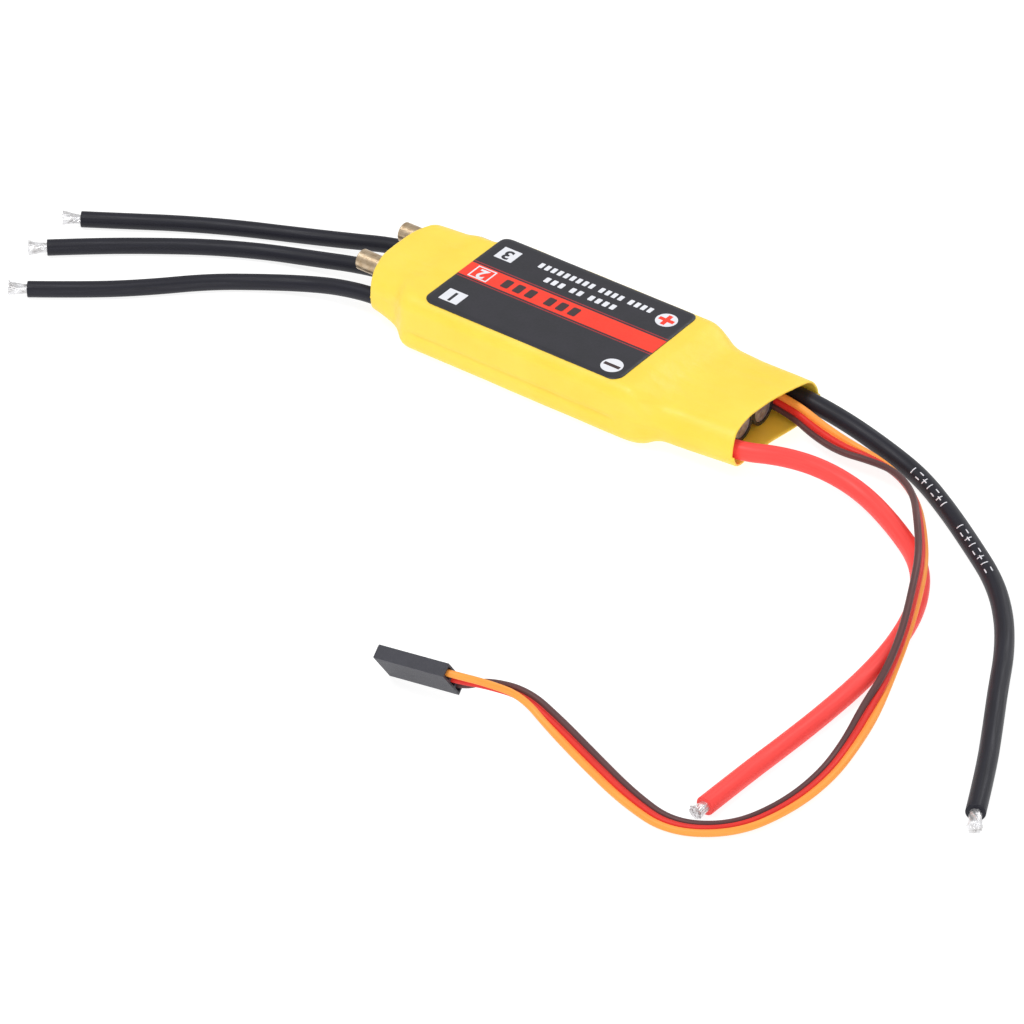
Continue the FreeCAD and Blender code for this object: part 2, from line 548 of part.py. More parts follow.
# ---------------------------------------------------------------- assembly
def build():
    """Write every node."""
    os.makedirs("parts", exist_ok=True)
    export("heat_shrink_sleeve", [heat_shrink_sleeve()])
    export("label_film", [label_film()])
    export("cooling_tube", [cooling_tube()])
    export("heatsink_plate", [heatsink_plate()])
    export("thermal_pad", [thermal_pad()])
    export("circuit_board", [circuit_board()])
    export("insulation_sheet", [insulation_sheet()])
    for phase, row_y in zip("abc", PHASE_ROWS):
        export(f"mosfets_phase_{phase}", mosfets(row_y))
    export("ceramic_capacitors", ceramic_capacitors())
    export("microcontroller", leaded_chip(CONTROLLER_X, 0, *SQUARE_PACKAGE))
    export("gate_drivers", gate_drivers())
    export("regulator_chip", leaded_chip(REGULATOR_X, 8, *SMALL_PACKAGE))
    export("regulator_inductor", [chip(REGULATOR_X, 0, 5.2, 5.2, 1.2, False)])
    export("regulator_diode", [chip(REGULATOR_X, -8, 4.3, 2.6, 1.1, False)])
    export("resonator", [chip(CONTROLLER_X, 8, 3.2, 1.3, 0.9, False)])
    export("chip_passives", chip_passives())

    joints = []
    motor = (MOTOR_WIRE, MOTOR_CORE, MOTOR_PAD_REACH, MOTOR_TIP, MOTOR_TIP_RADIUS)
    battery = (BATTERY_WIRE, BATTERY_CORE, BATTERY_PAD_REACH)
    servo = (SERVO_WIRE, SERVO_CORE, SERVO_PAD_REACH, SERVO_TIP, SERVO_CORE)
    leads = [(name, [V(*point) for point in route], motor) for name, route in MOTOR_ROUTES.items()]
    leads += [(name, [V(*point) for point in route], battery + (BATTERY_TIPS[name], BATTERY_TIP_RADIUS))
              for name, route in BATTERY_ROUTES.items()]
    leads += [(f"servo_wire_{colour}", points, servo) for colour, points in servo_points().items()]
    for name, points, sizes in leads:
        insulation, conductor, pad = wire_pieces(name, points, *sizes)
        export(f"{name}_insulation", [insulation])
        export(f"{name}_conductor", [conductor])
        joints.append(solder_joint(pad, points[0], sizes[1]))

    for number, y in (("1", CAPACITOR_HALF_SPACING), ("2", -CAPACITOR_HALF_SPACING)):
        for piece, solids in capacitor_pieces(y).items():
            export(f"capacitor_{number}_{piece}", solids)
        for lead_y in capacitor_lead_places(y):
            rod = V(LEAD_PAD, lead_y, LEAD_PAD_HEIGHT)
            joints.append(solder_joint(rod, rod + X_AXIS * 2, CAPACITOR_LEAD))
    export("solder_joints", joints)
    export("servo_plug_housing", [servo_plug_housing()])
    export("servo_contacts", servo_contacts())


build()
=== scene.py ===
import json
import math

import bpy
import numpy as np
from mathutils import Euler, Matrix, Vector, noise

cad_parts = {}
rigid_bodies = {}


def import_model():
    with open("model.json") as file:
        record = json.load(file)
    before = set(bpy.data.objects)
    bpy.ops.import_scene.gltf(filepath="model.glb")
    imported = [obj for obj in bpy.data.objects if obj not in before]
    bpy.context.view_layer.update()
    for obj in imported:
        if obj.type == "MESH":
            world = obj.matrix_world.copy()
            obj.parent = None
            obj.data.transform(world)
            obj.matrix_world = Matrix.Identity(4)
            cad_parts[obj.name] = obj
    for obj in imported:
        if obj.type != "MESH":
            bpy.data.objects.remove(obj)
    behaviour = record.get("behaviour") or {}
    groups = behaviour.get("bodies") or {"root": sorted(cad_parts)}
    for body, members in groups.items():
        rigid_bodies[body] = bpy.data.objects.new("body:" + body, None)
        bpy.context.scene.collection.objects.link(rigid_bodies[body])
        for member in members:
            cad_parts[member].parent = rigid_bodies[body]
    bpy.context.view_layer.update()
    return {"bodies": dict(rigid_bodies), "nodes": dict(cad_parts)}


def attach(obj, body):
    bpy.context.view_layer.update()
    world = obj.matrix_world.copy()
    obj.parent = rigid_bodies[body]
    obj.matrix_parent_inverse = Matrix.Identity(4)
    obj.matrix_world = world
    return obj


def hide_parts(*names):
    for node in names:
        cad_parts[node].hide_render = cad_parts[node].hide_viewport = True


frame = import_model()
nodes = frame["nodes"]
rng = np.random.default_rng(7)

MM = 0.001
BODY = next(iter(frame["bodies"]))

# ---------------------------------------------------------------- sizes, in millimetres
MOTOR_WIRE, MOTOR_CORE, MOTOR_TIP = 1.55, 0.7, 3.6
BATTERY_WIRE, BATTERY_CORE = 1.75, 0.8
BATTERY_TIPS = {"battery_wire_negative": 3.8, "battery_wire_positive": 2.4}
SERVO_WIRE, SERVO_CORE, SERVO_TIP = 0.635, 0.3, 2.4
SERVO_PITCH = 1.31
PLUG_LENGTH, PLUG_WIDTH, PLUG_HEIGHT, PLUG_PITCH = 14.0, 7.62, 2.54, 2.54
PLUG_X, PLUG_Y = 35.0, -93.0
PLUG_HEADING, PLUG_RISE, PLUG_LEAN = 6.0, 5.5, 57.5          # degrees
LEAD_IN, INSULATION_IN_PLUG = 1.0, 3.0

BODY_TOP = 12.0
SLEEVE_WALL = 0.5
LABEL_START, LABEL_FAR = -25.1, 12.85
LABEL_LENGTH, LABEL_WIDTH = 43.8, 25.7
LABEL_CORNER, LABEL_FILM = 2.0, 0.12

# ---------------------------------------------------------------- routes of the leads, in metres
MOTOR_ROUTES = {
    "motor_wire_a": [
        (-0.0306, -0.0085, 0.00475), (-0.0385, -0.0084, 0.00475), (-0.047, -0.0088, 0.0037),
        (-0.0545, -0.0101, 0.0022), (-0.062, -0.0138, 0.00155), (-0.070, -0.0196, 0.00155),
        (-0.078, -0.0279, 0.00155), (-0.086, -0.0348, 0.00155), (-0.0955, -0.04154, 0.00155)],
    "motor_wire_b": [
        (-0.0306, 0, 0.00475), (-0.038, -0.0001, 0.0047), (-0.048, -0.001, 0.0039),
        (-0.058, -0.0025, 0.0022), (-0.068, -0.0055, 0.00155), (-0.0775, -0.0106, 0.00155),
        (-0.0865, -0.0168, 0.00155), (-0.0945, -0.0228, 0.00155), (-0.10158, -0.02872, 0.00155)],
    "motor_wire_c": [
        (-0.0306, 0.0085, 0.00475), (-0.038, 0.0085, 0.0047), (-0.047, 0.0079, 0.004),
        (-0.057, 0.0059, 0.0022), (-0.067, 0.0023, 0.00155), (-0.077, -0.0022, 0.00155),
        (-0.087, -0.0076, 0.00155), (-0.0955, -0.013, 0.00155), (-0.10266, -0.01748, 0.00155)],
}
BATTERY_ROUTES = {
    "battery_wire_negative": [
        (0.0216, 0.0109, 0.00482), (0.032, 0.0107, 0.0052), (0.043, 0.0105, 0.0056),
        (0.053, 0.010, 0.0046), (0.0625, 0.0093, 0.0026), (0.071, 0.007, 0.00175),
        (0.080, 0.0016, 0.00175), (0.089, -0.0046, 0.00175), (0.0975, -0.0108, 0.00175),
        (0.1042, -0.018, 0.00175), (0.110, -0.0268, 0.00175), (0.1148, -0.0365, 0.00175),
        (0.1198, -0.046, 0.00175), (0.1247, -0.0556, 0.00175), (0.12947, -0.06628, 0.00175)],
    "battery_wire_positive": [
        (0.0216, -0.0096, 0.00482), (0.032, -0.0099, 0.0052), (0.043, -0.0102, 0.0055),
        (0.050, -0.0068, 0.0056), (0.057, -0.004, 0.0043), (0.0655, -0.004, 0.0028),
        (0.075, -0.008, 0.0020), (0.085, -0.0145, 0.00175), (0.091, -0.0245, 0.00175),
        (0.094, -0.036, 0.00175), (0.095, -0.048, 0.00175), (0.0948, -0.060, 0.00175),
        (0.0942, -0.070, 0.00175), (0.0934, -0.0796, 0.00175), (0.09275, -0.0913, 0.00175)],
}
# Middle line of the flat servo lead: x, y, z, roll in degrees, and how far it is bunched
SERVO_ROUTE = [
    (0.021, 0.007, 0.0045, 5, 0), (0.027, 0.0076, 0.0049, 58, 0), (0.034, 0.0077, 0.0054, 85, 0),
    (0.0435, 0.0070, 0.0050, 72, 0), (0.050, 0.0054, 0.0040, 46, 0), (0.056, 0.0044, 0.0036, 20, 0),
    (0.0625, 0.0046, 0.0034, -20, 0), (0.069, 0.0026, 0.0040, -55, 0), (0.0757, -0.0024, 0.0049, -70, 0),
    (0.0815, -0.0098, 0.0061, -62, 0), (0.0876, -0.0185, 0.0067, -62, 0), (0.092, -0.0275, 0.006, -65, 0),
    (0.0956, -0.0363, 0.0043, -75, 0), (0.0982, -0.045, 0.0023, -75, 0), (0.1002, -0.0535, 0.0014, -20, 0),
    (0.1023, -0.062, 0.001, 10, 0), (0.1039, -0.072, 0.001, 10, 0), (0.1032, -0.0825, 0.001, 10, 0),
    (0.0996, -0.0926, 0.001, 6, 0), (0.091, -0.0983, 0.0009, 0, 0), (0.081, -0.0963, 0.001, -8, 0),
    (0.070, -0.0922, 0.0013, -18, 0), (0.0605, -0.0886, 0.0018, -10, 0.2), (0.0525, -0.0866, 0.0034, 24, 0.6),
    (0.047, -0.090, 0.0054, 42, 0.45)]


# ---------------------------------------------------------------- materials
class Nodes:
    """Short names for building one material's node tree."""

    def __init__(self, name):
        self.material = bpy.data.materials.new(name)
        self.material.use_nodes = True
        self.tree = self.material.node_tree
        self.shader = self.tree.nodes["Principled BSDF"]

    def add(self, kind, **settings):
        node = self.tree.nodes.new(kind)
        for key, value in settings.items():
            if hasattr(node, key):
                setattr(node, key, value)
            else:
                node.inputs[key.replace("_", " ")].default_value = value
        return node

    def link(self, output, target):
        self.tree.links.new(output, target)

    def coordinates(self, stretch=(1, 1, 1), use_uv=False):
        """Object coordinates in millimetres, or the piece's UV map, stretched."""
        place = self.add("ShaderNodeTexCoord")
        mapping = self.add("ShaderNodeMapping")
        size = 1.0 if use_uv else 1 / MM
        mapping.inputs["Scale"].default_value = [size * s for s in stretch]
        self.link(place.outputs["UV" if use_uv else "Object"], mapping.inputs["Vector"])
        return mapping.outputs["Vector"]

    def noise(self, vector, scale, detail=4.0, roughness=0.55, low=0.35, high=0.65):
        """Noise spread over 0 to 1."""
        texture = self.add("ShaderNodeTexNoise", Scale=scale, Detail=detail, Roughness=roughness)
        self.link(vector, texture.inputs["Vector"])
        spread = self.add("ShaderNodeMapRange", From_Min=low, From_Max=high)
        self.link(texture.outputs["Fac"], spread.inputs["Value"])
        return spread.outputs["Result"]

    def mix(self, factor, first, second):
        """Colour between two colours or outputs."""
        blend = self.add("ShaderNodeMix", data_type="RGBA")
        self.link(factor, blend.inputs[0])
        for index, value in ((6, first), (7, second)):
            if isinstance(value, bpy.types.NodeSocket):
                self.link(value, blend.inputs[index])
            else:
                blend.inputs[index].default_value = (*value, 1)
        return blend.outputs[2]

    def spread(self, factor, low, high):
        """Value between low and high."""
        node = self.add("ShaderNodeMapRange", To_Min=low, To_Max=high)
        self.link(factor, node.inputs["Value"])
        return node.outputs["Result"]

    def bump(self, height, distance, strength=0.5, before=None):
        """Bump of a height in millimetres."""
        node = self.add("ShaderNodeBump", Strength=strength, Distance=distance * MM)
        self.link(height, node.inputs["Height"])
        if before:
            self.link(before, node.inputs["Normal"])
        return node.outputs["Normal"]

    def finish(self, colour=None, roughness=None, normal=None, **sockets):
        for name, value in (("Base Color", colour), ("Roughness", roughness), ("Normal", normal)):
            if value is not None:
                self.link(value, self.shader.inputs[name])
        for name, value in sockets.items():
            self.shader.inputs[name.replace("_", " ")].default_value = value
        return self.material


def plastic(name, colour, deep, grain, rough, bump, **sockets):
    """Moulded or printed surface: two close tones, uneven gloss and a fine grain of a size in mm."""
    n = Nodes(name)
    place = n.coordinates()
    fine, broad = n.noise(place, 1 / grain), n.noise(place, 0.18, 3)
    return n.finish(n.mix(broad, colour, deep), n.spread(fine, *rough), n.bump(fine, bump), **sockets)


def sleeve_material():
    """Shrunk film: nearly even colour, soft satin gloss, faint draw lines and a fine orange peel."""
    n = Nodes("shrink_film_yellow")
    place = n.coordinates()
    broad, peel = n.noise(place, 0.09, 3), n.noise(place, 2.2, 3)
    lines = n.noise(n.coordinates((0.05, 1.6, 1.6)), 1.0, 4)
    tone = n.mix(broad, (0.99, 0.70, 0.085), (0.97, 0.66, 0.064))
    speck = n.noise(place, 0.55, 2, 0.5, 0.80, 0.82)
    colour = n.mix(speck, tone, (0.72, 0.47, 0.05))
    normal = n.bump(peel, 0.02, 0.35, n.bump(lines, 0.03, 0.3))
    return n.finish(colour, n.spread(peel, 0.36, 0.5), normal, Specular_IOR_Level=0.42,
                    Subsurface_Weight=0.12, Subsurface_Scale=0.002, Subsurface_Radius=(1.0, 0.55, 0.15))


def silicone(name, colour, deep, sheen):
    """Extruded silicone: lines along the wire, a dusty matt sheen."""
    n = Nodes(name)
    streaks = n.noise(n.coordinates((0.12, 2.2, 1), use_uv=True), 1.0, 4)
    dust = n.noise(n.coordinates(), 3.0, 5, 0.7, 0.4, 0.7)
    tone = n.mix(streaks, colour, deep)
    normal = n.bump(dust, 0.012, 0.3, n.bump(streaks, 0.02, 0.35))
    return n.finish(tone, n.spread(streaks, 0.42, 0.56), normal, Specular_IOR_Level=0.36,
                    Sheen_Weight=sheen, Sheen_Roughness=0.4)


def metal(name, colour, deep, rough, scratch, bump, metallic):
    """Drawn or tinned metal with fine scratches along X and a mottled tone."""
    n = Nodes(name)
    lines = n.noise(n.coordinates(scratch), 1.0, 5)
    mottle = n.noise(n.coordinates(), 0.9, 4)
    tone = n.mix(mottle, colour, deep)
    return n.finish(tone, n.spread(lines, *rough), n.bump(lines, bump, 0.4), Metallic=metallic)


def board_material():
    """Solder mask with copper tracks showing through and the glass weave below."""
    n = Nodes("board_green")
    place = n.coordinates()
    cells = n.add("ShaderNodeTexVoronoi", Scale=0.6)
    cells.feature, cells.distance = "DISTANCE_TO_EDGE", "MANHATTAN"
    n.link(place, cells.inputs["Vector"])
    tracks = n.add("ShaderNodeMapRange", From_Min=0.05, From_Max=0.12)
    n.link(cells.outputs["Distance"], tracks.inputs["Value"])
    weave = n.noise(n.coordinates((2.5, 2.5, 1)), 1.0, 2)
    colour = n.mix(tracks.outputs["Result"], (0.02, 0.16, 0.07), (0.008, 0.08, 0.035))
    return n.finish(colour, n.spread(weave, 0.3, 0.42), n.bump(tracks.outputs["Result"], 0.03, 0.5))


PRINT_GLOSS, INK_GLOSS, DULL = (0.36, 0.46), (0.38, 0.48), (0.6, 0.8)      # roughness from, to
POWER_SHEEN_BLACK, POWER_SHEEN_RED, SERVO_SHEEN = 0.05, 0.04, 0.03
# name: colour, second tone, size of the grain in mm, roughness, height of the grain in mm
PLASTICS = {
    "label_black": ((0.018, 0.017, 0.025), (0.014, 0.014, 0.020), 0.6, PRINT_GLOSS, 0.006),
    "print_red": ((0.92, 0.040, 0.014), (0.86, 0.034, 0.012), 0.6, PRINT_GLOSS, 0.006),
    "print_dim_red": ((0.42, 0.03, 0.04), (0.36, 0.025, 0.03), 0.6, PRINT_GLOSS, 0.006),
    "print_white": ((0.80, 0.81, 0.86), (0.74, 0.75, 0.80), 0.5, INK_GLOSS, 0.006),
    "print_dark": ((0.045, 0.022, 0.024), (0.038, 0.018, 0.02), 0.5, INK_GLOSS, 0.006),
    "capacitor_film": ((0.020, 0.020, 0.024), (0.028, 0.028, 0.033), 0.5, (0.22, 0.32), 0.01),
    "bung_rubber": ((0.030, 0.030, 0.031), (0.040, 0.040, 0.041), 0.3, (0.6, 0.75), 0.03),
    "plug_black": ((0.020, 0.020, 0.032), (0.015, 0.015, 0.025), 0.14, (0.40, 0.55), 0.02),
    "chip_black": ((0.022, 0.022, 0.024), (0.030, 0.030, 0.032), 0.12, (0.5, 0.65), 0.02),
    "ceramic_tan": ((0.42, 0.29, 0.17), (0.36, 0.24, 0.13), 0.12, (0.4, 0.55), 0.01),
    "thermal_pad_blue": ((0.20, 0.32, 0.50), (0.16, 0.27, 0.44), 0.4, DULL, 0.04),
    "insulation_paper": ((0.55, 0.57, 0.49), (0.48, 0.50, 0.43), 0.25, DULL, 0.02)}
# name: colour, second tone, sheen
SILICONES = {
    "silicone_black": ((0.007, 0.007, 0.016), (0.004, 0.004, 0.010), POWER_SHEEN_BLACK),
    "silicone_red": ((1.0, 0.074, 0.064), (0.93, 0.060, 0.054), POWER_SHEEN_RED),
    "wire_brown": ((0.118, 0.045, 0.045), (0.085, 0.034, 0.036), SERVO_SHEEN),
    "wire_red": ((0.76, 0.030, 0.020), (0.68, 0.024, 0.018), SERVO_SHEEN),
    "wire_orange": ((0.98, 0.37, 0.060), (0.94, 0.32, 0.048), SERVO_SHEEN)}
# name: colour, second tone, roughness, scratches per mm along x, y and z, depth in mm, metallic
METALS = {
    "brass": ((0.64, 0.51, 0.36), (0.47, 0.34, 0.21), (0.26, 0.44), (0.2, 3.0, 3.0), 0.02, 1.0),
    "aluminium": ((0.80, 0.80, 0.81), (0.70, 0.70, 0.72), (0.25, 0.42), (0.3, 4.0, 4.0), 0.02, 1.0),
    "tinned_copper": ((0.86, 0.86, 0.88), (0.58, 0.57, 0.57), (0.24, 0.42), (1.5, 3.0, 3.0), 0.02, 0.8),
    "solder": ((0.78, 0.78, 0.80), (0.60, 0.60, 0.62), (0.2, 0.4), (1.5, 1.5, 1.5), 0.05, 1.0),
    "contact_gold": ((0.85, 0.62, 0.28), (0.72, 0.50, 0.20), (0.2, 0.35), (0.4, 4.0, 4.0), 0.01, 1.0),
    "capacitor_can": ((0.56, 0.51, 0.52), (0.33, 0.28, 0.29), (0.28, 0.42), (2.0, 2.0, 2.0), 0.02, 0.6)}
MATERIALS = {"shrink_film_yellow": sleeve_material(), "board_green": board_material()}
MATERIALS.update({name: plastic(name, *row) for name, row in PLASTICS.items()})
MATERIALS.update({name: silicone(name, *row) for name, row in SILICONES.items()})
MATERIALS.update({name: metal(name, *row) for name, row in METALS.items()})


# ---------------------------------------------------------------- meshes
def piece(name, verts, faces, material, uvs=None, smooth=True):
    """Mesh object from points in millimetres that rides on the controller's one body."""
    mesh = bpy.data.meshes.new(name)
    mesh.from_pydata([tuple(float(c) * MM for c in v) for v in verts], [], faces)
    if uvs is not None:
        layer = mesh.uv_layers.new(name="UVMap")
        loops = np.empty(len(mesh.loops), np.int32)
        mesh.loops.foreach_get("vertex_index", loops)
        layer.data.foreach_set("uv", np.asarray(uvs, np.float32)[loops].ravel())
    mesh.polygons.foreach_set("use_smooth", [smooth] * len(mesh.polygons))
    mesh.update()
    obj = bpy.data.objects.new(name, mesh)
    bpy.context.scene.collection.objects.link(obj)
    obj.data.materials.append(MATERIALS[material])
    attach(obj, BODY)
    return obj


def spline(points):
    """Evenly smooth line through a route's NURBS spline, in millimetres."""
    curve = bpy.data.curves.new("route", "CURVE")
    curve.dimensions = "3D"
    curve.resolution_u = 14
    route = curve.splines.new("NURBS")
    route.points.add(len(points) - 1)
    for target, point in zip(route.points, points):
        target.co = (*point, 1)
    route.order_u = 3
    route.use_endpoint_u = True
    holder = bpy.data.objects.new("route", curve)
    bpy.context.scene.collection.objects.link(holder)
    mesh = bpy.data.meshes.new_from_object(holder)
    line = np.array([v.co for v in mesh.vertices], float) / MM
    bpy.data.objects.remove(holder)
    bpy.data.meshes.remove(mesh)
    bpy.data.curves.remove(curve)
    return line


def carried_frames(line):
    """Unit tangent and two side vectors at each point, carried along without twist."""
    tangent = np.gradient(line, axis=0)
    tangent /= np.linalg.norm(tangent, axis=1)[:, None]
    side = np.empty_like(line)
    side[0] = np.cross(tangent[0], (0, 0, 1))
    side[0] /= np.linalg.norm(side[0])
    for index in range(1, len(line)):
        vector = side[index - 1] - tangent[index] * np.dot(side[index - 1], tangent[index])
        side[index] = vector / np.linalg.norm(vector)
    return tangent, side, np.cross(side, tangent)


def distances(line):
    """Length along a line at each of its points."""
    return np.concatenate([[0], np.cumsum(np.linalg.norm(np.diff(line, axis=0), axis=1))])


def tube(line, radius, sides=32, rim=0.15):
    """Closed round tube with softened end edges: points, faces and UVs in millimetres."""
    tangent, side, up = carried_frames(line)
    along = distances(line)

    def rim_ring(index, sign, angle):
        """Centre, radius, length along the line and frame of a ring on the softened edge."""
        inset = rim * (1 - math.cos(angle))
        centre = line[index] + tangent[index] * sign * inset
        return centre, radius - rim * (1 - math.sin(angle)), along[index] + sign * inset, index

    rim_angles = np.linspace(0, math.pi / 2, 5)
    rings = [rim_ring(0, 1, angle) for angle in rim_angles]
    rings += [(line[i], radius, along[i], i) for i in range(len(line)) if rim < along[i] < along[-1] - rim]
    rings += [rim_ring(-1, -1, angle) for angle in rim_angles[::-1]]
    angles = np.linspace(0, 2 * math.pi, sides + 1)
    verts, uvs = [], []
    for centre, size, distance, i in rings:
        for angle in angles:
            verts.append(centre + size * (math.cos(angle) * side[i] + math.sin(angle) * up[i]))
            uvs.append((distance, angle * radius))
    width = sides + 1
    faces = [(r * width + s, r * width + s + 1, (r + 1) * width + s + 1, (r + 1) * width + s)
             for r in range(len(rings) - 1) for s in range(sides)]
    for ring, i, flip in ((0, 0, True), (len(rings) - 1, -1, False)):
        centre = len(verts)
        verts.append(line[i])
        uvs.append((rings[ring][2], 0))
        fan = [(ring * width + s, ring * width + s + 1, centre) for s in range(sides)]
        faces += [face[::-1] for face in fan] if flip else fan
    return verts, faces, uvs


STRAND_SIDES, STRAND_RINGS = 8, 14
STRAND_SHARE, STRAND_PACKING = 3.6, 0.34      # conductor radius over a strand's, and spacing over it
STRAND_LAY, WANDER_TURN = 0.28, 1.9           # radians per millimetre
FUSE_SIZE, LOWEST_STRAND = 0.08, 0.02


def fused(verts, faces):
    """Points and faces of one skin round strands that touch, in millimetres."""
    mesh = bpy.data.meshes.new("strands")
    mesh.from_pydata([tuple(v) for v in verts], [], faces)
    holder = bpy.data.objects.new("strands", mesh)
    bpy.context.scene.collection.objects.link(holder)
    remesh = holder.modifiers.new("fuse", "REMESH")
    remesh.mode, remesh.voxel_size = "VOXEL", FUSE_SIZE
    smooth = holder.modifiers.new("soften", "SMOOTH")
    smooth.factor, smooth.iterations = 0.5, 2
    bpy.context.view_layer.update()
    skin = bpy.data.meshes.new_from_object(holder.evaluated_get(bpy.context.evaluated_depsgraph_get()))
    points = np.array([v.co for v in skin.vertices], float)
    points[:, 2] = np.maximum(points[:, 2], LOWEST_STRAND)
    polygons = [tuple(p.vertices) for p in skin.polygons]
    bpy.data.objects.remove(holder)
    bpy.data.meshes.remove(skin)
    bpy.data.meshes.remove(mesh)
    return points, polygons


def strand_bundle(name, start, direction, core, reach, flare, stub=1.2):
    """Tinned strands from inside the insulation to their cut ends, fused where the tin has run."""
    direction = direction / np.linalg.norm(direction)
    side = np.cross(direction, (0, 0, 1))
    side /= np.linalg.norm(side)
    up = np.cross(side, direction)
    strand = core / STRAND_SHARE
    grid = [(i + j * 0.5, j * math.sqrt(3) / 2) for i in range(-3, 4) for j in range(-3, 4)]
    lean = rng.uniform(-0.12, 0.12, 2) * (1, 0.5)
    corners = np.linspace(0, 2 * math.pi, STRAND_SIDES + 1)[:-1]
    verts, faces = [], []
    for x, y in (place for place in grid if math.hypot(*place) < 3.1):
        radial, turn = math.hypot(x, y) * core * STRAND_PACKING, math.atan2(y, x)
        length = reach * rng.uniform(0.93, 1.0)
        wander, phase = rng.uniform(0.02, 0.10), rng.uniform(0, 2 * math.pi)
        first = len(verts)
        for s in np.linspace(-stub, length, STRAND_RINGS):
            share = max(0.0, s / reach)
            spread = radial * (1 + flare * share ** 1.3)
            angle, drift = turn + STRAND_LAY * s, phase + WANDER_TURN * s
            a = spread * math.cos(angle) + wander * math.cos(drift) + lean[0] * share * reach
            b = spread * math.sin(angle) + wander * math.sin(drift) + lean[1] * share * reach
            centre = start + direction * s + side * a + up * b
            verts += [centre + strand * (math.cos(c) * side + math.sin(c) * up) for c in corners]
        for low in range(first, first + (STRAND_RINGS - 1) * STRAND_SIDES, STRAND_SIDES):
            high = low + STRAND_SIDES
            for k in range(STRAND_SIDES):
                after = (k + 1) % STRAND_SIDES
                faces.append((low + k, low + after, high + after, high + k))
        last = first + (STRAND_RINGS - 1) * STRAND_SIDES
        faces.append(tuple(range(first, first + STRAND_SIDES))[::-1])
        faces.append(tuple(range(last, last + STRAND_SIDES)))
    points, polygons = fused(verts, faces)
    return piece(name, points, polygons, "tinned_copper")


# ---------------------------------------------------------------- power and motor leads
MOTOR_FLARE, BATTERY_FLARE = 0.75, 0.5        # how far the cut strands spread, over their bundle


def power_lead(name, route, radius, core, tip, flare, material):
    """Insulation and bare strands of one thick lead, and its middle line."""
    line = spline(route)
    verts, faces, uvs = tube(line, radius)
    obj = piece(f"{name}_silicone", verts, faces, material, uvs)
    strands = strand_bundle(f"{name}_strands", line[-1], line[-1] - line[-2], core, tip, flare)
    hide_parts(f"{name}_insulation")
    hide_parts(f"{name}_conductor")
    return line


lines = {}
for name, route in MOTOR_ROUTES.items():
    lines[name] = power_lead(name, route, MOTOR_WIRE, MOTOR_CORE, MOTOR_TIP, MOTOR_FLARE,
                             "silicone_black")
for polarity, material in (("negative", "silicone_black"), ("positive", "silicone_red")):
    name = f"battery_wire_{polarity}"
    lines[name] = power_lead(name, BATTERY_ROUTES[name], BATTERY_WIRE, BATTERY_CORE, BATTERY_TIPS[name],
                             BATTERY_FLARE, material)


# ---------------------------------------------------------------- servo lead
def plug_frame():
    """Centre of the plug and its unit vectors: towards its wires and across it."""
    heading, rise, lean = (math.radians(a) for a in (PLUG_HEADING, PLUG_RISE, PLUG_LEAN))
    along = Vector((math.cos(heading) * math.cos(rise), math.sin(heading) * math.cos(rise), math.sin(rise)))
    level = Vector((-math.sin(heading), math.cos(heading), 0))
    across = level * math.cos(lean) - along.cross(level) * math.sin(lean)
    through = along.cross(across)
    height = (PLUG_LENGTH * abs(along.z) + PLUG_WIDTH * abs(across.z) + PLUG_HEIGHT * abs(through.z)) / 2
    return Vector((PLUG_X, PLUG_Y, height)), along, across


def servo_routes():
    """Control points of the three wires, beside each other along the middle line, in metres."""
    centres = [Vector(p[:3]) for p in SERVO_ROUTE]
    wires = {"brown": [], "red": [], "orange": []}
    pitch = SERVO_PITCH * MM
    for index, (_, _, _, roll, bunch) in enumerate(SERVO_ROUTE):
        forward = (centres[min(index + 1, len(centres) - 1)] - centres[max(index - 1, 0)]).normalized()
        left = Vector((0, 0, 1)).cross(forward).normalized()
        upward = forward.cross(left)
        side = left * math.cos(math.radians(roll)) + upward * math.sin(math.radians(roll))
        normal = forward.cross(side)
        low, high = math.radians(180 - 90 * bunch), math.radians(30 * bunch)
        offsets = {"brown": (side * math.cos(low) + normal * math.sin(low)) * pitch, "red": Vector((0, 0, 0)),
                   "orange": (side * math.cos(high) + normal * math.sin(high)) * pitch}
        middle = (offsets["brown"] + offsets["orange"]) / 3
        for colour, offset in offsets.items():
            wires[colour].append(centres[index] + offset - middle)
    centre, along, across = plug_frame()
    for colour, row in (("brown", 1), ("red", 0), ("orange", -1)):
        for reach in (PLUG_LENGTH / 2 + LEAD_IN, PLUG_LENGTH / 2 - INSULATION_IN_PLUG):
            wires[colour].append((centre + along * reach + across * row * PLUG_PITCH) * MM)
    return wires


WEB_THICKNESS, WEB_END = 0.5, 9.0             # the bonding web stops this far before the plug
WEB_INSET = 0.6                               # of a wire's radius, from its middle


def bonding_web(name, first, second, material):
    """Thin web that joins two neighbouring wires of the flat lead along their whole bonded run."""
    along = distances(first)
    count = int(np.searchsorted(along, along[-1] - WEB_END))
    a, b = first[2:count], second[2:count]
    tangent = np.gradient(a, axis=0)
    across = b - a
    width = np.linalg.norm(across, axis=1)[:, None]
    through = np.cross(tangent, across)
    through *= WEB_THICKNESS / 2 / np.linalg.norm(through, axis=1)[:, None]
    inward = across / width * SERVO_WIRE * WEB_INSET
    verts = [corner for low, high, lift in zip(a + inward, b - inward, through)
             for corner in (low + lift, high + lift, high - lift, low - lift)]
    faces = [(r * 4 + k, r * 4 + (k + 1) % 4, r * 4 + 4 + (k + 1) % 4, r * 4 + 4 + k)
             for r in range(len(a) - 1) for k in range(4)]
    last = 4 * (len(a) - 1)
    faces += [(3, 2, 1, 0), (last, last + 1, last + 2, last + 3)]
    return piece(name, verts, faces, material)


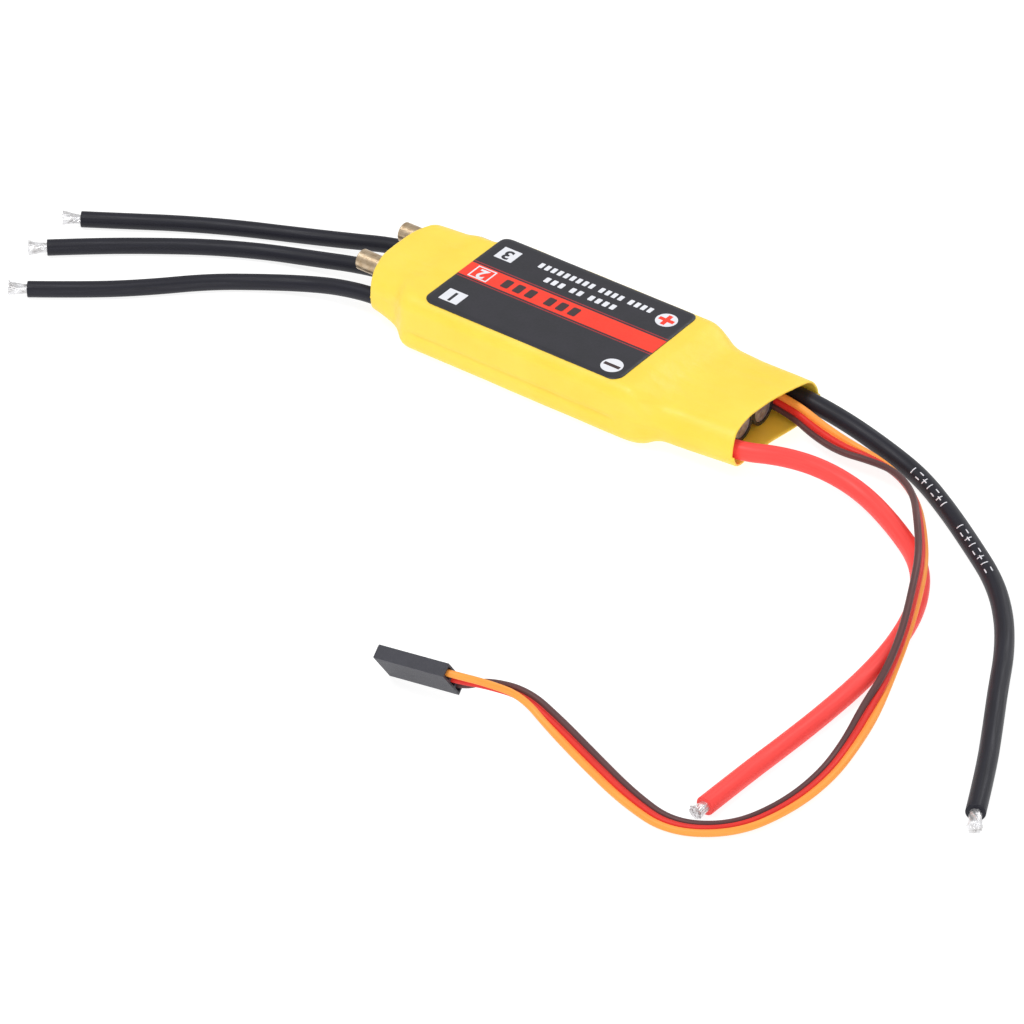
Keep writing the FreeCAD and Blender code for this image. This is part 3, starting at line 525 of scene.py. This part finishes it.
servo_points = servo_routes()
servo_lines = {colour: spline(route) for colour, route in servo_points.items()}
SERVO_WEBS = {
    "red": [bonding_web("servo_web_brown_red", servo_lines["brown"], servo_lines["red"], "wire_red")],
    "orange": [bonding_web("servo_web_red_orange", servo_lines["red"], servo_lines["orange"], "wire_orange")]}
for colour, route in servo_points.items():
    name = f"servo_wire_{colour}"
    line = servo_lines[colour]
    verts, faces, uvs = tube(line, SERVO_WIRE, 20, 0.08)
    wire = piece(f"{name}_jacket", verts, faces, f"wire_{colour}", uvs)
    last_run = (line[-1] - line[-2]) / np.linalg.norm(line[-1] - line[-2])
    verts, faces, uvs = tube(np.vstack([line, line[-1] + last_run * SERVO_TIP]), SERVO_CORE, 12, 0.05)
    core = piece(f"{name}_core", verts, faces, "tinned_copper", uvs)
    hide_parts(f"{name}_insulation")
    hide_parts(f"{name}_conductor")


# ---------------------------------------------------------------- sleeve
PROFILE_STEP, PROFILE_BLUR, BLUR_STEPS = 0.1, 0.7, 25


def profile(*knots):
    """Smooth function of x through rounded-off straight stretches between knots."""
    x = np.arange(-46.0, 52.0, PROFILE_STEP)
    values = np.interp(x, *zip(*knots))
    steps = np.arange(-BLUR_STEPS, BLUR_STEPS + 1)
    weights = np.exp(-0.5 * (steps * PROFILE_STEP / PROFILE_BLUR) ** 2)
    padded = np.pad(values, BLUR_STEPS, mode="edge")
    smooth = np.convolve(padded, weights / weights.sum(), "valid")
    return lambda place: np.interp(place, x, smooth)


SLEEVE_NEAR = profile((-40.8, 11.1), (-37, 11.7), (-31.6, 12.3), (-30.4, 13.3), (-29.6, 14.1), (-28.4, 14.6),
                      (22.8, 14.6), (24.8, 14.3), (26.4, 13.6), (28.2, 13.25),
                      (34, 13.15), (39, 12.95), (46, 12.6))
SLEEVE_FAR = profile((-40.8, 11.6), (-36, 11.8), (-26, 12.0), (-24.9, 12.8), (-23.9, 13.9), (-22.9, 14.4),
                     (-21, 14.6), (21, 14.6), (24, 14.15), (26, 13.6), (28, 13.4), (33, 13.3), (46, 13.2))
SLEEVE_TOP = profile((-40.8, 11.3), (-36, 11.5), (-32, 11.62), (-30.2, 12), (21.5, 12), (24, 11.2),
                     (26, 10.1), (28.2, 9.5), (33, 9.3), (46, 9.3))
SLEEVE_LOW = profile((-40.8, 2.4), (-37, 2.1), (-33.4, 1.5), (-31.4, 0.7), (-29.8, 0), (23.4, 0), (24.8, 0.3),
                     (26.2, 1.1), (28, 1.5), (33, 1.6), (46, 1.9))
SLEEVE_CORNER = profile((-40.8, 3.9), (-36, 3.8), (-31.5, 3.4), (-30, 2.9), (21, 2.8), (24, 3.2), (26, 3.5),
                        (28, 3.7), (46, 3.7))
SLEEVE_CROWN = profile((-40.8, 0.35), (-33, 0.1), (-30, 0), (23, 0), (30, 0.7), (38, 1.15), (46, 1.45))
MOUTH_LIFT = profile((-40.8, 0), (28, 0), (42, 0.8), (46, 0.9))
WRINKLES = profile((-40.5, 0.03), (-33, 0.05), (-31, 0.10), (-28, 0.035), (19, 0.03), (24, 0.11), (29, 0.09),
                   (36, 0.05), (46, 0.04))
SIDE_POINTS, CORNER_POINTS, FLAT_POINTS = 14, 12, 36
MOTOR_EDGE = -40.2
BATTERY_EDGE = ((-13, 43.1), (-11.6, 42.6), (-9, 42.2), (-6, 42.1), (0, 42.6), (6, 43.4), (10, 44.0),
                (13.2, 44.3))
SLEEVE_STATIONS, LIP = 190, 0.28
# The film draws in along the gap between the board and the plate
CREASE_HEIGHT, CREASE_DEPTH, CREASE_WIDTH, CREASE_RUN, CREASE_FADE = 4.7, 0.36, 0.45, (-29, 20), 3


def section_point(x, inset, part, share):
    """Point of the sleeve's rounded section at x, on one of its eight parts."""
    near, far = SLEEVE_NEAR(x) - inset, SLEEVE_FAR(x) - inset
    top, low, corner = SLEEVE_TOP(x) - inset, SLEEVE_LOW(x) + inset, SLEEVE_CORNER(x) - inset
    centres = [(far - corner, top - corner), (far - corner, low + corner),
               (corner - near, low + corner), (corner - near, top - corner)]
    if part % 2:
        cy, cz = centres[part // 2]
        angle = math.radians(90 - 90 * (part // 2) - 90 * share)
        y, z = cy + corner * math.cos(angle), cz + corner * math.sin(angle)
    else:
        ends = [(centres[3][0], top), (centres[0][0], top), (far, centres[0][1]), (far, centres[1][1]),
                (centres[1][0], low), (centres[2][0], low), (-near, centres[2][1]), (-near, centres[3][1])]
        (y0, z0), (y1, z1) = ends[part], ends[part + 1]
        y, z = y0 + (y1 - y0) * share, z0 + (z1 - z0) * share
    middle, half = (top + low) / 2, (top - low) / 2
    upper = max(0.0, (z - middle) / half)
    z += SLEEVE_CROWN(x) * upper * max(0.0, 1 - (y / 13.0) ** 2)
    z += MOUTH_LIFT(x) * max(0.0, -y / 13.0) ** 2 * max(0.0, (middle - z) / half)
    if abs(y) > 12:
        fade = np.clip(min(x - CREASE_RUN[0], CREASE_RUN[1] - x) / CREASE_FADE, 0, 1)
        y -= math.copysign(CREASE_DEPTH * fade * math.exp(-((z - CREASE_HEIGHT) / CREASE_WIDTH) ** 2), y)
    return y, z


def edge_places(y, height_share):
    """Where the film ends at each mouth, for a place on the section."""
    start = MOTOR_EDGE + 1.7 * (abs(y) / 12.0) ** 3.4
    end = np.interp(y, *zip(*BATTERY_EDGE)) + 0.4 * (1 - height_share)
    return start, end


def sleeve_ring_parts():
    """Part of the section and share along it, for each point round the sleeve."""
    counts = [FLAT_POINTS, CORNER_POINTS, SIDE_POINTS, CORNER_POINTS] * 2
    return [(part, step / count) for part, count in enumerate(counts) for step in range(count)]


def heat_shrink():
    """Film shrunk over the stack: outside, rolled lips, and inside, as one closed skin."""
    ring_parts = sleeve_ring_parts()
    outer, inner = [], []
    for station in range(SLEEVE_STATIONS + 1):
        share = station / SLEEVE_STATIONS
        for part, along in ring_parts:
            y, z = section_point(0.0, 0.0, part, along)
            start, end = edge_places(y * 0.9, (z - BODY_TOP / 2) / (BODY_TOP / 2))
            x = start + (end - start) * share
            y, z = section_point(x, 0.0, part, along)
            yi, zi = section_point(x, SLEEVE_WALL, part, along)
            lump = noise.noise(Vector((x * 0.16, y * 0.42, z * 0.42))) * WRINKLES(x) * 1.6
            fold = noise.noise(Vector((x * 0.10 + 9, y * 0.9, z * 0.9))) * WRINKLES(x)
            swell = np.array([0.0, y - yi, z - zi]) / SLEEVE_WALL * (lump + fold)
            outer.append(np.array([x, y, max(0.0, z)]) + (swell if z > 0.3 else 0.0))
            inner.append(np.array([x, yi, zi]) + swell)
    count = len(ring_parts)
    lips = []
    for index, sign in ((0, -1), (SLEEVE_STATIONS, 1)):
        rings = []
        for angle in (math.pi / 4, math.pi / 2, 3 * math.pi / 4):
            for j in range(count):
                a, b = outer[index * count + j], inner[index * count + j]
                middle, half = (a + b) / 2, (a - b) / 2
                rings.append(middle + half * math.cos(angle) + np.array([sign * LIP * math.sin(angle), 0, 0]))
        lips.append(rings)
    verts = lips[0][2 * count:] + lips[0][count:2 * count] + lips[0][:count] + outer + lips[1]
    verts += [inner[s * count + j] for s in range(SLEEVE_STATIONS, -1, -1) for j in range(count)]
    rings = len(verts) // count
    faces = []
    for ring in range(rings):
        after = (ring + 1) % rings
        for j in range(count):
            k = (j + 1) % count
            faces.append((ring * count + j, ring * count + k, after * count + k, after * count + j))
    skin = piece("heat_shrink_skin", verts, faces, "shrink_film_yellow")
    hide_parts("heat_shrink_sleeve")


heat_shrink()


# ---------------------------------------------------------------- label
SHOULDER_RADIUS, FLAT_HALF = 2.8, 11.8
LABEL_BEVEL, LABEL_SINK = 0.03, 0.05          # softened edge, and how far the film is let into the sleeve
PRINT_LIFT, PRINT_SINK = 0.012, 0.01


def over_shoulder(across, lift):
    """y and z of a place on the label, by its distance from the label's middle line."""
    beyond = abs(across) - FLAT_HALF
    if beyond <= 0:
        return across, BODY_TOP + lift
    angle = beyond / SHOULDER_RADIUS
    y = FLAT_HALF + (SHOULDER_RADIUS + lift) * math.sin(angle)
    return math.copysign(y, across), BODY_TOP - SHOULDER_RADIUS + (SHOULDER_RADIUS + lift) * math.cos(angle)


def label_sheet():
    """Rounded label wrapped over the start of both shoulders."""
    rows, columns = 64, 48
    half = LABEL_WIDTH / 2
    steps = [-half * math.cos(math.pi * row / rows) for row in range(rows + 1)]
    verts = []
    for lift in (LABEL_FILM, LABEL_FILM - LABEL_BEVEL, -LABEL_SINK):
        shrink = LABEL_BEVEL if lift == LABEL_FILM else 0.0
        for across in steps:
            beyond = max(0.0, abs(across) - (half - LABEL_CORNER))
            inset = LABEL_CORNER - math.sqrt(max(0.0, LABEL_CORNER ** 2 - beyond ** 2)) + shrink
            y, z = over_shoulder(across * (1 - shrink / half), lift)
            for column in range(columns + 1):
                x = LABEL_START + inset + (LABEL_LENGTH - 2 * inset) * column / columns
                verts.append((x, y, z))
    width, layer = columns + 1, (rows + 1) * (columns + 1)
    faces = [(r * width + c, r * width + c + 1, (r + 1) * width + c + 1, (r + 1) * width + c)
             for r in range(rows) for c in range(columns)]
    bottom = [tuple(v + 2 * layer for v in face[::-1]) for face in faces]
    rim = list(range(width)) + [r * width + columns for r in range(1, rows + 1)]
    rim += [rows * width + c for c in range(columns - 1, -1, -1)]
    rim += [r * width for r in range(rows - 1, 0, -1)]
    walls = [(low + b, low + a, low + layer + a, low + layer + b)[::-1]
             for low in (0, layer) for a, b in zip(rim[1:] + rim[:1], rim)]
    sheet = piece("label_sheet", verts, faces + walls + bottom, "label_black")
    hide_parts("label_film")


def rounded(s0, s1, t0, t1, radius):
    """Outline of a rounded rectangle on the label."""
    points = []
    for corner, (cs, ct) in enumerate(((s1 - radius, t1 - radius), (s0 + radius, t1 - radius),
                                       (s0 + radius, t0 + radius), (s1 - radius, t0 + radius))):
        for step in range(5):
            angle = math.radians(90 * corner + 22.5 * step)
            points.append((cs + radius * math.cos(angle), ct + radius * math.sin(angle)))
    return points


def disc(s, t, radius):
    """Outline of a round spot on the label."""
    angles = np.linspace(0, 2 * math.pi, 49)[:-1]
    return [(s + radius * math.cos(angle), t + radius * math.sin(angle)) for angle in angles]


def word_blocks(end, t, height, size, words):
    """Small blocks, grouped like words, that stand for a line of print without any lettering."""
    outlines, s = [], end
    for count in words:
        for _ in range(count):
            outlines.append(rounded(s - 0.62 * size, s, t - height / 2, t + height / 2, 0.12 * size))
            s -= size
        s -= size * 0.6
    return outlines


def print_layer(name, outlines, material, level):
    """Thin ink shapes on the flat of the label."""
    verts, faces = [], []
    low, high = BODY_TOP + LABEL_FILM - PRINT_SINK, BODY_TOP + LABEL_FILM + PRINT_LIFT * level
    for outline in outlines:
        first, count = len(verts), len(outline)
        for z in (high, low):
            verts += [(LABEL_START + s, LABEL_FAR - t, z) for s, t in outline]
        faces.append(tuple(range(first, first + count))[::-1])
        faces.append(tuple(range(first + count, first + 2 * count)))
        faces += [(first + i, first + (i + 1) % count, first + count + (i + 1) % count, first + count + i)
                  for i in range(count)]
    piece(name, verts, faces, material, smooth=False)


def badge_number(name, figure, s, t, material, level):
    """Plain figure that numbers one motor lead."""
    text = bpy.data.curves.new(name, "FONT")
    text.body, text.size, text.offset = figure, 3.9, 0.11
    text.align_x, text.align_y = "CENTER", "CENTER"
    text.extrude, text.resolution_u = PRINT_SINK, 6
    holder = bpy.data.objects.new(name, text)
    bpy.context.scene.collection.objects.link(holder)
    bpy.context.view_layer.update()
    mesh = bpy.data.meshes.new_from_object(holder)
    height = BODY_TOP + LABEL_FILM + PRINT_LIFT * level - PRINT_SINK
    verts = [(LABEL_START + s - v.co.x, LABEL_FAR - t - v.co.y, height + v.co.z) for v in mesh.vertices]
    faces = [tuple(p.vertices) for p in mesh.polygons]
    bpy.data.objects.remove(holder)
    piece(name, verts, faces, material, smooth=False)


# Places on the label in mm: s along it from the motor end, t across it from the far edge
RED_BAND, PINSTRIPES, PINSTRIPE = (10.4, 14.9), (9.75, 15.33), 0.22
WHITE_BADGES = ((2.1, 6.0, 2.9, 6.7), (2.1, 6.2, 19.8, 23.6))
OUTLINE_BADGE = ((1.9, 6.1, 10.75, 11.05), (1.9, 6.1, 14.25, 14.55),
                 (1.9, 2.2, 11.05, 14.25), (5.8, 6.1, 11.05, 14.25))
PLUS_SPOT, MINUS_SPOT, SPOT_RADIUS = (39.8, 4.85), (40.2, 22.35), 2.1
PLUS_BARS = ((38.2, 41.4, 4.4, 5.3, 0.05), (39.35, 40.25, 3.25, 4.4, 0.02), (39.35, 40.25, 5.3, 6.45, 0.02))
MINUS_BAR = (38.5, 41.9, 21.95, 22.75, 0.05)
# Figure, its middle, its ink and its layer
FIGURES = (("3", 4.05, 4.8, "label_black", 3), ("2", 4.0, 12.65, "print_white", 2),
           ("1", 4.15, 21.7, "label_black", 3))


def label_print():
    """Bands, badges, polarity marks and blocks that stand for the lines of print."""
    margin = 0.03
    across = (margin, LABEL_LENGTH - margin)
    print_layer("label_red_band", [rounded(*across, *RED_BAND, 0.02)], "print_red", 1)
    print_layer("label_pinstripes", [rounded(*across, t, t + PINSTRIPE, 0.02) for t in PINSTRIPES],
                "print_dim_red", 1)
    white = [rounded(*badge, 0.1) for badge in WHITE_BADGES]
    white += [disc(*spot, SPOT_RADIUS) for spot in (PLUS_SPOT, MINUS_SPOT)]
    white += [rounded(*side, 0.02) for side in OUTLINE_BADGE]
    white += word_blocks(36.0, 4.0, 1.6, 1.42, (4, 4, 9)) + word_blocks(30.0, 7.2, 1.6, 1.6, (4, 2, 3))
    print_layer("label_white_print", white, "print_white", 2)
    dark = word_blocks(25.6, 12.65, 2.6, 2.7, (3, 3)) + [rounded(*MINUS_BAR)]
    print_layer("label_dark_print", dark, "print_dark", 3)
    print_layer("label_plus", [rounded(*bar) for bar in PLUS_BARS], "print_red", 3)
    for figure, *place_and_ink in FIGURES:
        badge_number(f"label_figure_{figure}", figure, *place_and_ink)


label_sheet()
label_print()


# ---------------------------------------------------------------- print on the leads
INK_ROWS, INK_COLUMNS, INK_LIFT, INK_SINK = 4, 5, 0.012, 0.01


def wire_print(name, line, radius, blocks, towards):
    """Blocks of ink on a lead, on the side that faces a direction."""
    axes = (line, *carried_frames(line)[1:])
    along = distances(line)
    verts, faces = [], []
    layer = INK_ROWS * INK_COLUMNS
    grid = np.arange(layer).reshape(INK_ROWS, INK_COLUMNS)
    rim = [*grid[0], *grid[1:, -1], *grid[-1, -2::-1], *grid[-2:0:-1, 0]]
    for begin, end, low, high in blocks:
        first = len(verts)
        for lift in (INK_LIFT, -INK_SINK):
            for distance in np.linspace(begin, end, INK_ROWS):
                centre, side, up = (np.array([np.interp(distance, along, axis[:, k]) for k in range(3)])
                                    for axis in axes)
                middle = math.atan2(np.dot(up, towards), np.dot(side, towards))
                for height in np.linspace(low, high, INK_COLUMNS):
                    angle = middle + height / radius
                    verts.append(centre + (radius + lift) * (math.cos(angle) * side + math.sin(angle) * up))
        corners = [first + place for place in rim]
        top = [tuple(int(first + i) for i in (grid[r, c], grid[r, c + 1], grid[r + 1, c + 1], grid[r + 1, c]))
               for r in range(INK_ROWS - 1) for c in range(INK_COLUMNS - 1)]
        faces += top + [tuple(v + layer for v in face[::-1]) for face in top]
        faces += [tuple(int(i) for i in (b, a, a + layer, b + layer))
                  for a, b in zip(corners, corners[1:] + corners[:1])]
    piece(name, verts, faces, "print_white")


MARK_PITCH, MARK_LENGTH, MARK_HALF, MARK_LINE = 1.9, 1.2, 0.7, 0.22


def ink_row(start, marks):
    """Fine ticks and dashes along a lead, one mark after another."""
    blocks = []
    for index in range(marks):
        place = start + MARK_PITCH * index
        if index % 3 == 1:
            for low in (-MARK_HALF, MARK_HALF - MARK_LINE):
                blocks.append((place, place + MARK_LENGTH, low, low + MARK_LINE))
        else:
            blocks.append((place + 0.3, place + 0.55, -MARK_HALF, MARK_HALF))
        if index % 3 == 2:
            blocks.append((place, place + MARK_LENGTH, -MARK_LINE / 2, MARK_LINE / 2))
    return blocks


CAMERA_SIDE = np.array([0.479, -0.648, 0.592])
wire_print("battery_wire_print", lines["battery_wire_negative"], BATTERY_WIRE,
           ink_row(48.5, 7) + ink_row(67.0, 8), CAMERA_SIDE)


# ---------------------------------------------------------------- finish of the carried-over parts
FINISHES = {
    "brass": ["cooling_tube"], "aluminium": ["heatsink_plate"], "thermal_pad_blue": ["thermal_pad"],
    "board_green": ["circuit_board"], "insulation_paper": ["insulation_sheet"], "solder": ["solder_joints"],
    "ceramic_tan": ["ceramic_capacitors", "resonator", "chip_passives"],
    "chip_black": ["mosfets_phase_a", "mosfets_phase_b", "mosfets_phase_c", "microcontroller", "gate_drivers",
                   "regulator_chip", "regulator_inductor", "regulator_diode"],
    "capacitor_can": ["capacitor_1_can", "capacitor_2_can"],
    "capacitor_film": ["capacitor_1_sleeve", "capacitor_2_sleeve"],
    "bung_rubber": ["capacitor_1_bung", "capacitor_2_bung"],
    "tinned_copper": ["capacitor_1_leads", "capacitor_2_leads"],
    "plug_black": ["servo_plug_housing"], "contact_gold": ["servo_contacts"]}
rounding = nodes["servo_plug_housing"].modifiers.new("moulded_edges", "BEVEL")
rounding.width, rounding.segments, rounding.limit_method = 0.1 * MM, 2, "ANGLE"
for finish, names in FINISHES.items():
    for name in names:
        if nodes[name].material_slots:
            nodes[name].material_slots[0].material = MATERIALS[finish]
        else:
            nodes[name].data.materials.append(MATERIALS[finish])


# ---------------------------------------------------------------- camera, light and floor
CAMERA_PLACE = (0.4994, -0.6941, 0.5954)
CAMERA_TILT, CAMERA_TURN = 53.7, 36.5                        # degrees
camera = bpy.data.objects.new("camera", bpy.data.cameras.new("camera"))
camera.location = CAMERA_PLACE
camera.rotation_euler = Euler((math.radians(CAMERA_TILT), 0, math.radians(CAMERA_TURN)))
camera.data.sensor_width, camera.data.lens = 36, 200.39
camera.data.clip_start, camera.data.clip_end = 0.05, 20
bpy.context.scene.collection.objects.link(camera)
bpy.context.scene.camera = camera

FLOOR_REACH, FLOOR_DROP = 3.0, 0.00002
corners = [(x * FLOOR_REACH, y * FLOOR_REACH, -FLOOR_DROP) for x, y in ((-1, -1), (1, -1), (1, 1), (-1, 1))]
floor_mesh = bpy.data.meshes.new("floor")
floor_mesh.from_pydata(corners, [], [(0, 1, 2, 3)])
floor = bpy.data.objects.new("floor", floor_mesh)
floor_material = bpy.data.materials.new("floor_white")
floor_material.use_nodes = True
floor_shader = floor_material.node_tree.nodes["Principled BSDF"]
for socket, value in (("Base Color", (0.3, 0.3, 0.3, 1)), ("Roughness", 0.9), ("Specular IOR Level", 0.0),
                      ("Emission Color", (1, 1, 1, 1)), ("Emission Strength", 0.85)):
    floor_shader.inputs[socket].default_value = value
floor.data.materials.append(floor_material)
bpy.context.scene.collection.objects.link(floor)


def area_light(name, place, aim, size, power):
    """Soft box turned towards a point."""
    data = bpy.data.lights.new(name, "AREA")
    data.shape, data.size, data.energy = "DISK", size, power
    light = bpy.data.objects.new(name, data)
    light.location = place
    light.rotation_euler = (Vector(aim) - Vector(place)).to_track_quat("-Z", "Y").to_euler()
    bpy.context.scene.collection.objects.link(light)


area_light("key_light", (-0.3, -0.42, 1.2), (0, -0.02, 0), 0.6, 7.2)
area_light("front_light", (0.9, -0.9, 0.35), (0.02, -0.03, 0), 0.6, 3.8)
area_light("back_light", (0.1, 1.0, 0.8), (0, 0, 0), 0.7, 3.5)
world = bpy.data.worlds.new("studio")
world.use_nodes = True
world.node_tree.nodes["Background"].inputs["Color"].default_value = (1, 1, 1, 1)
world.node_tree.nodes["Background"].inputs["Strength"].default_value = 0.62
bpy.context.scene.world = world
bpy.context.scene.view_settings.view_transform = "Standard"
